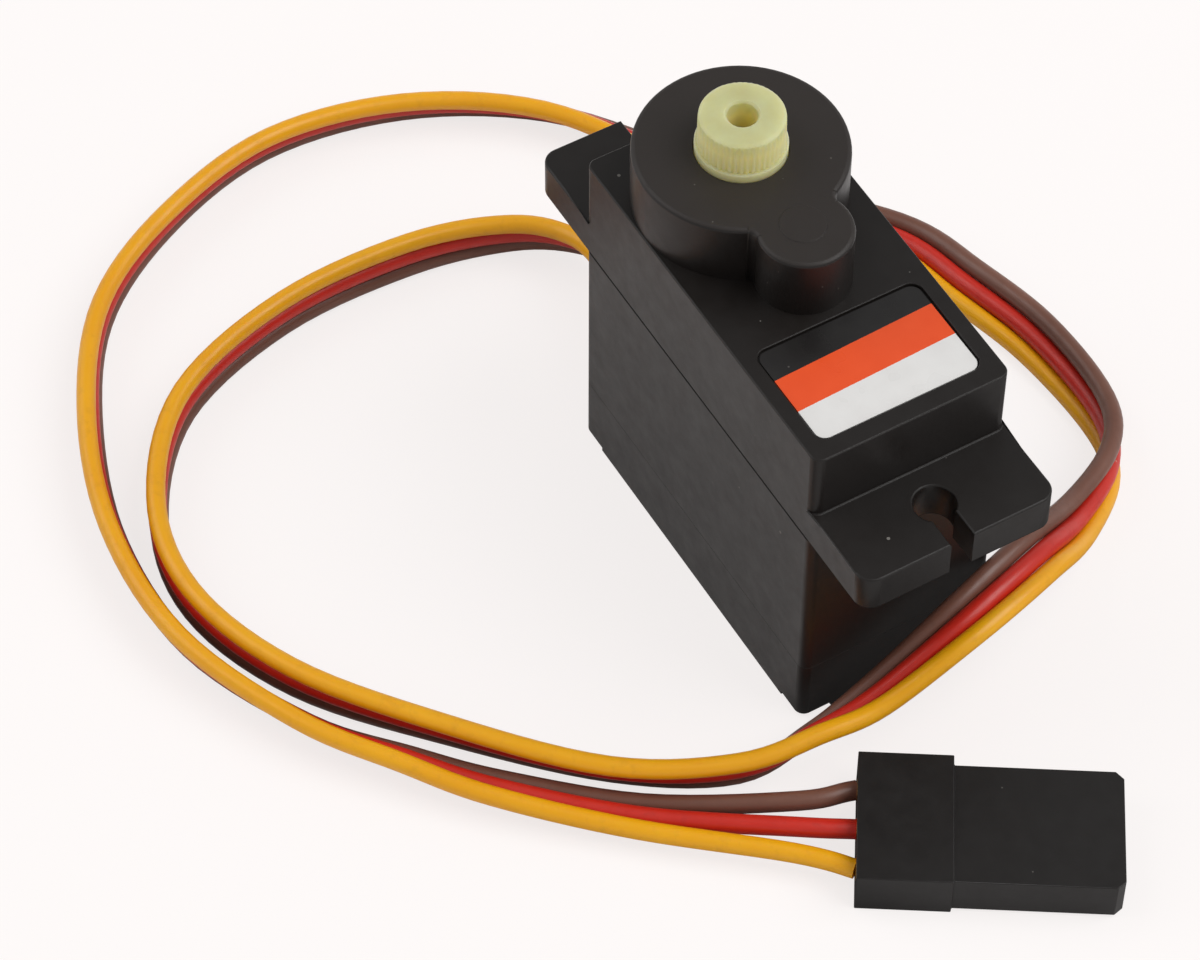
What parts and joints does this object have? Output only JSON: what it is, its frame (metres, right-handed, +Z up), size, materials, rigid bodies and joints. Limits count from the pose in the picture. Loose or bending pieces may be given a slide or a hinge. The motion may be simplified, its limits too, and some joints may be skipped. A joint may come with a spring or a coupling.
{
  "type": "servo motor",
  "caption": "Small steering servo with a black moulded case, keyhole ears, splined output shaft, geared motor inside and a flat lead ending in a plug.",
  "frame": {"origin": "centre of the underside of the case, on the surface it stands on", "axes": "+Z up along the output shaft, +X along the case towards the labelled motor end, +Y across the case"},
  "size_m": [0.071, 0.0556, 0.0298],
  "materials": {
    "case_plastic": "satin black moulded nylon with fine mould texture",
    "label_print": "printed film label with plain dark, orange and light bands",
    "spline_nylon": "translucent cream nylon",
    "gear_nylon": "natural nylon",
    "steel": "ground steel",
    "screw_steel": "dark plated steel",
    "can_metal": "plated steel",
    "brass": "plain brass",
    "copper": "enamelled copper",
    "magnet": "bonded ferrite",
    "cap_plastic": "natural moulded plastic",
    "board_green": "solder-masked circuit board",
    "chip_black": "moulded epoxy",
    "ceramic": "ceramic chip body",
    "pot_green": "moulded thermoset",
    "grommet_rubber": "soft black",
    "wire_yellow": "flexible insulation",
    "wire_red": "flexible insulation",
    "wire_brown": "flexible insulation",
    "plug_black": "moulded nylon"
  },
  "bodies": {
    "case": {"upper_case": "case_plastic", "middle_case": "case_plastic", "bottom_cover": "case_plastic", "case_screws": "screw_steel", "label": "label_print", "lead_grommet": "grommet_rubber", "motor_can": "can_metal", "motor_end_cap": "cap_plastic", "motor_magnets": "magnet", "motor_terminals": "brass", "gear_pin": "steel", "pot_body": "pot_green", "pot_pins": "can_metal", "circuit_board": "board_green", "control_chip": "chip_black", "drive_chips": "chip_black", "board_capacitors": "ceramic", "lead_tails": "copper", "lead_yellow": "wire_yellow", "lead_red": "wire_red", "lead_brown": "wire_brown", "plug_housing": "plug_black", "plug_contacts": "brass"},
    "rotor": {"motor_shaft": "steel", "rotor_core": "steel", "rotor_windings": "copper", "commutator": "copper", "motor_pinion": "brass"},
    "first_idler": {"first_gear": "gear_nylon"},
    "second_idler": {"second_gear": "gear_nylon"},
    "third_idler": {"third_gear": "gear_nylon"},
    "output": {"output_gear": "spline_nylon", "pot_wiper": "brass"}
  },
  "joints": [
    {"name": "output_shaft", "type": "hinge", "parent": "case", "child": "output", "pos_m": [-0.0057, 0, 0.022], "axis": [0, 0, 1], "range_deg": [-90, 90]},
    {"name": "third_idler_spin", "type": "hinge", "parent": "case", "child": "third_idler", "pos_m": [0.00081, 0, 0.022], "axis": [0, 0, 1], "range_deg": [-230, 230]},
    {"name": "second_idler_spin", "type": "hinge", "parent": "case", "child": "second_idler", "pos_m": [-0.0057, 0, 0.022], "axis": [0, 0, 1], "range_deg": [-565, 565]},
    {"name": "first_idler_spin", "type": "hinge", "parent": "case", "child": "first_idler", "pos_m": [0.00081, 0, 0.022], "axis": [0, 0, 1], "range_deg": [-1410, 1410]},
    {"name": "rotor_spin", "type": "hinge", "parent": "case", "child": "rotor", "pos_m": [0.00657, 0, 0.022], "axis": [0, 0, 1], "range_deg": [-5350, 5350]}
  ],
  "couplings": [
    {"joint": "third_idler_spin", "follows": "output_shaft", "ratio": -2.5},
    {"joint": "second_idler_spin", "follows": "output_shaft", "ratio": 6.25},
    {"joint": "first_idler_spin", "follows": "output_shaft", "ratio": -15.625},
    {"joint": "rotor_spin", "follows": "output_shaft", "ratio": 59.375}
  ]
}
